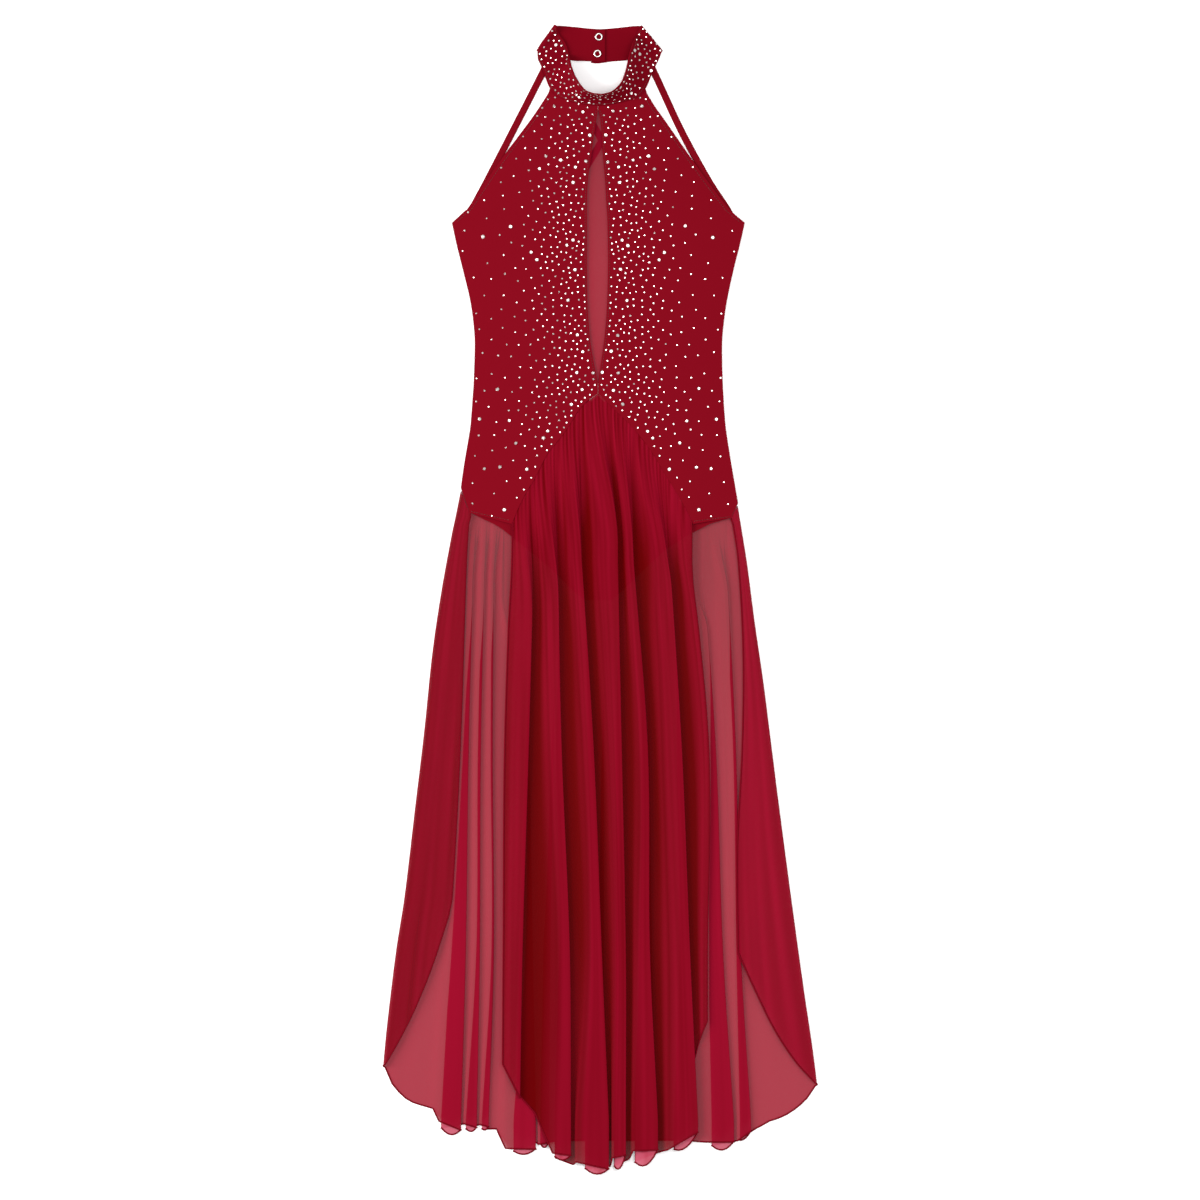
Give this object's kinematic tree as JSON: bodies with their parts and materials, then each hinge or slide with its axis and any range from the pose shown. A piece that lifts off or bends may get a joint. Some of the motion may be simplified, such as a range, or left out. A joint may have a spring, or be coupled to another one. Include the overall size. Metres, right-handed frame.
{
  "type": "lyrical dance dress, laid flat",
  "caption": "Halter-neck lyrical dance dress laid flat on its back: keyhole bodice with crossed back straps, gathered sheer front skirt and open-sided back skirt with rolled hems.",
  "frame": {"origin": "on the surface the dress lies on, under the middle of its outline seen from above", "axes": "+Y from the hem to the collar, +Z from the surface up to the front of the dress, +X to the viewer's right when the front is seen with the collar at the top"},
  "size_m": [0.543, 1.4354, 0.0423],
  "materials": {
    "jersey": "matt stretch jersey, dark red",
    "chiffon": "sheer plain-weave chiffon, dark red",
    "sheer_mesh": "fine stretch mesh, dark red",
    "binding": "folded stretch binding, dark red",
    "snap_metal": "bright nickel"
  },
  "bodies": {
    "root": {"collar": "jersey", "snap_upper": "snap_metal", "snap_lower": "snap_metal", "bodice_front_left": "jersey", "bodice_front_right": "jersey", "keyhole_mesh": "sheer_mesh", "bodice_back": "jersey", "brief_back": "jersey", "brief_front": "jersey", "strap_outer_left": "binding", "strap_outer_right": "binding", "strap_cross_left": "binding", "strap_cross_right": "binding", "skirt_front": "chiffon", "skirt_back": "chiffon"}
  },
  "joints": []
}
